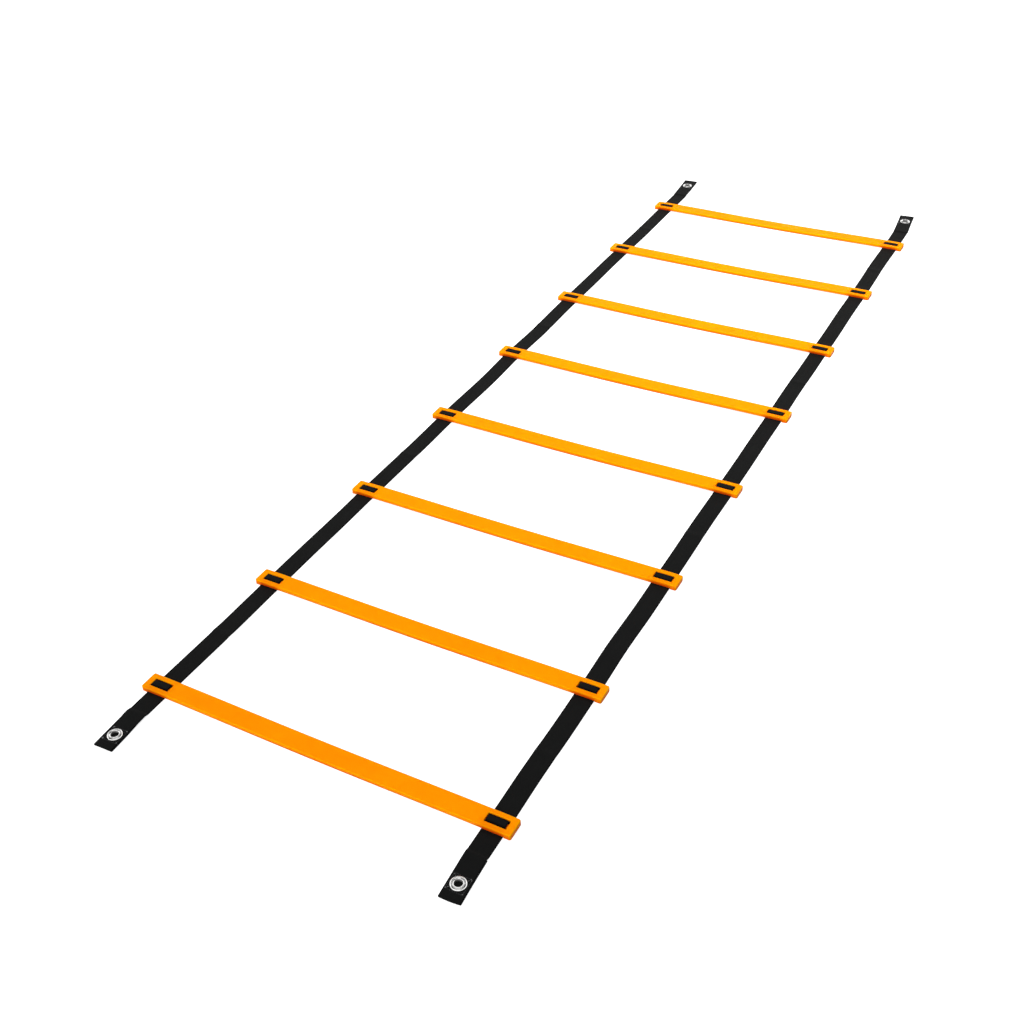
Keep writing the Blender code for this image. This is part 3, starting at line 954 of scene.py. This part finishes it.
def makeLoop(side, number, material):
    ring = webbingRing(loopShape["width"], loopShape["columns"])
    middle = strapCentres[side] + loopShape["shifts"][side][number - 1]
    mesh = sweepStrip(f"{side}_bar_loop_{number}", loopPath(rungPlaces[number - 1]), ring, middle)
    # painted shade on the shoulders and selvedges, where the window's walls shade the loop
    paintedShade = []
    (shoulder, shoulderFade), (selvedge, selvedgeFade) = loopShape["shoulder"], loopShape["selvedge"]
    for vert in mesh.vertices:
        share = abs(vert.co.x - middle) / (loopShape["width"] / 2)
        off = abs(vert.co.y - rungPlaces[number - 1])
        atSide = 0.8 * smoothStep((share - selvedge) / selvedgeFade)
        paintedShade.append(max(smoothStep((off - shoulder) / shoulderFade), atSide))
        vert.co.z -= loopShape["droop"] * share ** 6 * smoothStep((vert.co.z - loopShape["foot"]) / 0.003)
    finishMesh(mesh, 50)
    markPoints(mesh, "paintedShade", paintedShade)
    loop = addObject(mesh, material)
    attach(loop, f"slider_{number}")
    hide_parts(f"{side}_loop_{number}")


for side in sides:
    for number in range(1, rungCount + 1):
        makeLoop(side, number, webbingMaterial)
print("loops made")


# Eyelets and their washers, turned from their sections
eyeletShape = {
    "steps": 96,
    "flangeRadius": 0.0092,
    "flangeThickness": 0.0006,
    "holeRadius": 0.0045,
    "barrelRadius": 0.0050,
    "lipSeat": 0.0042,
    "lipTop": 0.0049,
    "lipRadius": 0.0072,
    "lipEdge": 0.00030,  # half the thickness of its outer edge
    "scallop": 0.00007,
    "lipWave": 0.00006,
    "lipDip": 0.00003,
    "washerRadius": 0.0091,
    "washerInner": 0.0053,
    "washerSeat": 0.0031,
    "washerTop": 0.0039,
    "rimTop": 0.0045,
    "rimCrown": 0.0077,
    "rimEdge": (0.0086, 0.00400),  # where the rim's outward slope ends
    "rimWave": 0.00003,
    "burr": (0.0003, 262, 0.11),  # on one washer: size, angle in degrees, spread in radians
    "grooveTop": 0.0034,
    "lipRound": (
        (0.00455, 0.0038), (0.0047, 0.0041), (0.0050, 0.0044), (0.0054, 0.00468), (0.0058, 0.00485),
    ),
    "lipGroove": (0.0062, 0.0066, 0.00015),  # from, to, depth
}
nickelLook = {
    "colour": (0.80, 0.795, 0.785),
    "shadeColour": (0.60, 0.595, 0.585),
    "throatColour": (0.24, 0.235, 0.23),  # duller inside the barrel, and darker there as painted shade in the hole
    "throatMetal": 0.3,
    "roughness": (0.06, 0.13),
    "cloudScale": 420.0,
    "scratchScale": (1500.0, 300.0, 1500.0),
    "scratchDepth": 0.000003,
}


def makeNickel():
    look = nickelLook
    material, tree, shader = newMaterial("brightNickel")
    place = addNode(tree, "TexCoord").outputs["Object"]
    cloudy = noise(tree, place, look["cloudScale"], 4.0, 0.6)
    fine = noise(tree, stretch(tree, place, look["scratchScale"]), 1.0, 3.0)
    metal = mixColours(tree, ramp(tree, cloudy, 0.45, 0.75), look["colour"], look["shadeColour"])
    throat = pointValue(tree, "throat")
    plug(tree, shader, {
        "Base Color": mixColours(tree, throat, metal, look["throatColour"]),
        "Metallic": ramp(tree, throat, 0.0, 1.0, 1.0, look["throatMetal"]),
        "Roughness": ramp(tree, cloudy, 0.3, 0.7, *look["roughness"]),
        "Normal": relief(tree, 0.6, look["scratchDepth"], fine),
    })
    return material


def turnProfile(name, profile, centre, wobble):
    # a closed section turned about the eyelet's axis, with a small unevenness
    steps = eyeletShape["steps"]
    verts, throat = [], []
    for step in range(steps):
        angle = 2 * pi * step / steps
        for radius, height in profile:
            dr, dz = wobble(radius, height, angle)
            reach = radius + dr
            x, y = centre.x + reach * cos(angle), centre.y + reach * sin(angle)
            verts.append((x, y, height + dz))
            # throat: 1 inside the barrel, where the metal is duller and painted darker
            throat.append(1 - smoothStep((reach - eyeletShape["holeRadius"] - 0.0001) / 0.0004))
    mesh = newMesh(name, verts, ringFaces(steps, len(profile), closed=True))
    finishMesh(mesh)
    markPoints(mesh, "throat", throat)
    return mesh


def eyeletProfile():
    # from the lip's edge down the barrel, round the flange, up through the hole and over the lip
    keys = ("flangeRadius", "flangeThickness", "holeRadius", "barrelRadius")
    flange, sheet, hole, barrel = (eyeletShape[key] for key in keys)
    seat, top, lip, edge = (eyeletShape[key] for key in ("lipSeat", "lipTop", "lipRadius", "lipEdge"))
    start, end, depth = eyeletShape["lipGroove"]
    return [
        *arcPoints((lip - edge, top - 0.00005 - edge), edge, 80, -80, 7),
        (barrel, seat), (barrel, sheet + 0.0002), (barrel + 0.0002, sheet),
        (flange - 0.0002, sheet), (flange, sheet - 0.0002), (flange - 0.0001, 0.0001), (flange - 0.0004, 0.0),
        (hole + 0.0006, 0.0), (hole + 0.0002, 0.0002),
        *((hole, height) for height in (0.0006, 0.0015, 0.0022, 0.0029, 0.0034)),
        *eyeletShape["lipRound"],
        (start - 0.0001, top), (start + 0.0001, top - depth),
        (end - 0.0001, top - depth), (end + 0.0001, top - 0.00002),
    ]


def washerProfile():
    # from the rim's crown down its outward slope, underneath, and up to the groove beside the lip
    keys = ("washerRadius", "washerInner", "washerSeat", "washerTop")
    outer, inner, seat, top = (eyeletShape[key] for key in keys)
    crown, rim, groove, lip = (eyeletShape[key] for key in ("rimCrown", "rimTop", "grooveTop", "lipRadius"))
    reach, low = eyeletShape["rimEdge"]
    return [
        (crown, rim), (crown + 0.00015, rim - 0.00003), (reach - 0.0001, low + 0.00004),
        (reach, low - 0.00002), (reach + 0.00028, low - 0.0003), (outer - 0.00006, low - 0.0006),
        (outer, seat + 0.0002), (outer - 0.0002, seat), (inner, seat), (inner, top - 0.0001),
        (inner + 0.0002, top), (lip - 0.0006, top), (lip - 0.0002, groove),
        (crown - 0.0003, groove), (crown - 0.0001, rim - 0.00006),
    ]


def makeEyelet(end, side, material):
    name = f"{end}_{side}"
    body = "section_1" if end == "near" else f"section_{rungCount}"
    centre = eyeletPlace(name)
    luck = random.Random(name)
    phases = [luck.uniform(0, 2 * pi) for index in range(4)]

    def uneven(radius, height, angle):
        curled = smoothStep((height - 0.0036) / 0.0008)
        throat = 1 - smoothStep((radius - eyeletShape["holeRadius"]) / 0.0012)
        scallop = sin(6 * angle + phases[0]) + 0.5 * sin(11 * angle + phases[1])
        rim = sin(3 * angle + phases[2]) + 0.6 * sin(5 * angle + phases[3])
        outer = smoothStep((radius - 0.0060) / 0.001)
        inwards = eyeletShape["scallop"] * throat * (0.5 + 0.5 * scallop)
        dr = curled * (inwards + eyeletShape["lipWave"] * outer * rim)
        return dr, -eyeletShape["lipDip"] * curled * (1 + sin(6 * angle + phases[1]))

    def worn(radius, height, angle):
        outer = smoothStep((radius - 0.0078) / 0.0012)
        size, burrAngle, spread = eyeletShape["burr"]
        burr = size * bell(angle - radians(burrAngle), spread) if name == "near_left" else 0.0
        dr = outer * (eyeletShape["rimWave"] * sin(2 * angle + phases[0]) + burr)
        return dr, eyeletShape["rimWave"] * outer * (sin(3 * angle + phases[1]) - 1)

    for kind, profile, wobble in (("eyelet", eyeletProfile(), uneven), ("washer", washerProfile(), worn)):
        mesh = turnProfile(f"{name}_turned_{kind}", profile, centre, wobble)
        piece = addObject(mesh, material)
        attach(piece, body)
        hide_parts(f"{name}_{kind}")


# A star-slit sheet of webbing over each eyelet's punched hole: a dark sheet put there as painted shade in the
# hole
holeShadeSheet = {
    "petals": 6,
    "radius": 0.00455,
    "core": 0.00003,  # radius left open in the middle
    "slit": 0.00001,  # half its width
    "top": 0.00120,
    "thickness": 0.0009,
    "droop": 0.0003,
    "rings": 5,
    "fans": 6,
}


def closeFlap(shape, top, low):
    # faces over, under and round one flap, from its rows of points
    rings, fans = len(top) - 1, len(top[0]) - 1
    for ring in range(rings):
        for fan in range(fans):
            for grid in (top, low):
                inner, outer = grid[ring], grid[ring + 1]
                shape.faces.new((inner[fan], inner[fan + 1], outer[fan + 1], outer[fan]))
    rim = [(0, fan) for fan in range(fans)] + [(ring, fans) for ring in range(rings)]
    rim += [(rings, fan) for fan in range(fans, 0, -1)] + [(ring, 0) for ring in range(rings, 0, -1)]
    for (ring, fan), (nextRing, nextFan) in zip(rim, rim[1:] + rim[:1]):
        shape.faces.new((top[ring][fan], top[nextRing][nextFan], low[nextRing][nextFan], low[ring][fan]))


def makeHoleShadeSheet(end, side, material):
    name = f"{end}_{side}"
    centre = eyeletPlace(name)
    luck = random.Random(f"{name} slits")
    spin = luck.uniform(0, pi)
    petals, rings, fans, core = (holeShadeSheet[key] for key in ("petals", "rings", "fans", "core"))
    wide = 2 * pi / petals
    shape = bmesh.new()
    uv = shape.loops.layers.uv.new("weave")
    for petal in range(petals):
        start = spin + 2 * pi * petal / petals
        sink = holeShadeSheet["droop"] * luck.uniform(0.6, 1.4)
        grids = ([], [])
        for under, grid in enumerate(grids):
            for ring in range(rings + 1):
                share = ring / rings
                radius = core + (holeShadeSheet["radius"] - core) * share
                margin = min(holeShadeSheet["slit"] / radius, wide / 2.5)
                thick = holeShadeSheet["thickness"] * (0.4 + 0.6 * share)
                height = holeShadeSheet["top"] - sink * (1 - share) ** 2 - under * thick
                row = []
                for fan in range(fans + 1):
                    angle = start + margin + (wide - 2 * margin) * fan / fans
                    x, y = centre.x + radius * cos(angle), centre.y + radius * sin(angle)
                    row.append(shape.verts.new((x, y, height)))
                grid.append(row)
        closeFlap(shape, *grids)
    for face in shape.faces:
        for loop in face.loops:
            loop[uv].uv = (loop.vert.co.x - centre.x, loop.vert.co.y)
    mesh = bpy.data.meshes.new(f"{name}_hole_shade_webbing")
    shape.to_mesh(mesh)
    shape.free()
    finishMesh(mesh, 50)
    piece = addObject(mesh, material)
    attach(piece, "section_1" if end == "near" else f"section_{rungCount}")


# Box stitching, one small stitch at a time
threadLook = {
    "colour": (0.010, 0.010, 0.011),
    # glintColour: a painted glint in the base colour of a few stitches
    "glintColour": (0.30, 0.30, 0.31),
    "roughness": (0.45, 0.70),
    "specular": 0.35,
    "twistScale": 520.0,
    "twistDepth": 0.00006,
    "fuzzScale": 2400.0,
}


def makeThread():
    look = threadLook
    material, tree, shader = newMaterial("sewingThread")
    place = addNode(tree, "TexCoord").outputs["Object"]
    twist = {"Vector": place, "Scale": look["twistScale"], "Distortion": 0.6}
    wave = addNode(tree, "TexWave", twist, bands_direction="DIAGONAL").outputs["Fac"]
    fuzz = noise(tree, place, look["fuzzScale"], 3.0)
    # painted glints, on the stitches that carry them
    shine = times(tree, pointValue(tree, "glint"), ramp(tree, fuzz, 0.35, 0.65, 0.4, 1.0))
    plug(tree, shader, {
        "Base Color": mixColours(tree, shine, look["colour"], look["glintColour"]),
        "Roughness": ramp(tree, fuzz, 0.3, 0.7, *look["roughness"]),
        "Specular IOR Level": look["specular"],
        "Normal": relief(tree, 0.6, look["twistDepth"], wave),
    })
    return material


def stitchLines(centre):
    # start and end of each run of stitches: the box, then the corners of the cross
    half = stitchBox["size"] / 2
    corners = [(-half, -half), (half, -half), (half, half), (-half, half)]
    lines = [(corners[index], corners[(index + 1) % 4]) for index in range(4)]
    inner = (eyeletShape["washerRadius"] + 0.0003) / sqrt(2)
    for x, y in corners:
        lines.append(((x, y), (copysign(inner, x), copysign(inner, y))))
    return [[Vector((centre.x + x, centre.y + y, 0.0)) for x, y in line] for line in lines]


def makeStitching(end, side, material):
    name = f"{end}_{side}"
    luck = random.Random(f"{name} thread")
    lowest = 2 * hem["layer"] + hem["gap"] - hem["stitchDent"] - stitchBox["sink"]
    rings, spokes = stitchBox["rings"], stitchBox["spokes"]
    verts, faces, glints = [], [], []
    for start, finish in stitchLines(eyeletPlace(name)):
        run = finish - start
        count = max(1, round(run.length / stitchBox["stitch"]))
        length = run.length / count
        ahead = run.normalized()
        beside = Vector((-ahead.y, ahead.x, 0.0))
        for index in range(count):
            first = start + ahead * (length * index + stitchBox["gap"] / 2)
            skew = beside * luck.uniform(-stitchBox["skew"], stitchBox["skew"])
            # about half the end stitches of each run carry a painted glint
            atCorner = index in (0, count - 1) and luck.random() < 0.5
            shine = luck.uniform(0.6, 1.0) if atCorner else luck.uniform(0.0, 0.15)
            for face in ringFaces(rings, spokes):
                faces.append([len(verts) + corner for corner in face])
            glints += [shine] * (rings * spokes)
            for ring in range(rings):
                share = ring / (rings - 1)
                swell = sin(pi * min(max(share, 0.04), 0.96)) ** 0.4
                middle = first + ahead * (length - stitchBox["gap"]) * share + skew * (2 * share - 1)
                middle.z = lowest + stitchBox["rise"] * sin(pi * share)
                for spoke in range(spokes):
                    angle = 2 * pi * spoke / spokes
                    offset = beside * cos(angle) + Vector((0.0, 0.0, sin(angle)))
                    verts.append(middle + offset * stitchBox["radius"] * swell)
    mesh = newMesh(f"{name}_box_stitches", verts, faces)
    finishMesh(mesh, 70)
    markPoints(mesh, "glint", glints)
    piece = addObject(mesh, material)
    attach(piece, "section_1" if end == "near" else f"section_{rungCount}")
    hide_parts(f"{name}_stitching")


nickel = makeNickel()
thread = makeThread()
for end in ("near", "far"):
    for side in sides:
        makeEyelet(end, side, nickel)
        makeHoleShadeSheet(end, side, webbingMaterial)
        makeStitching(end, side, thread)
print("eyelets and stitching made")
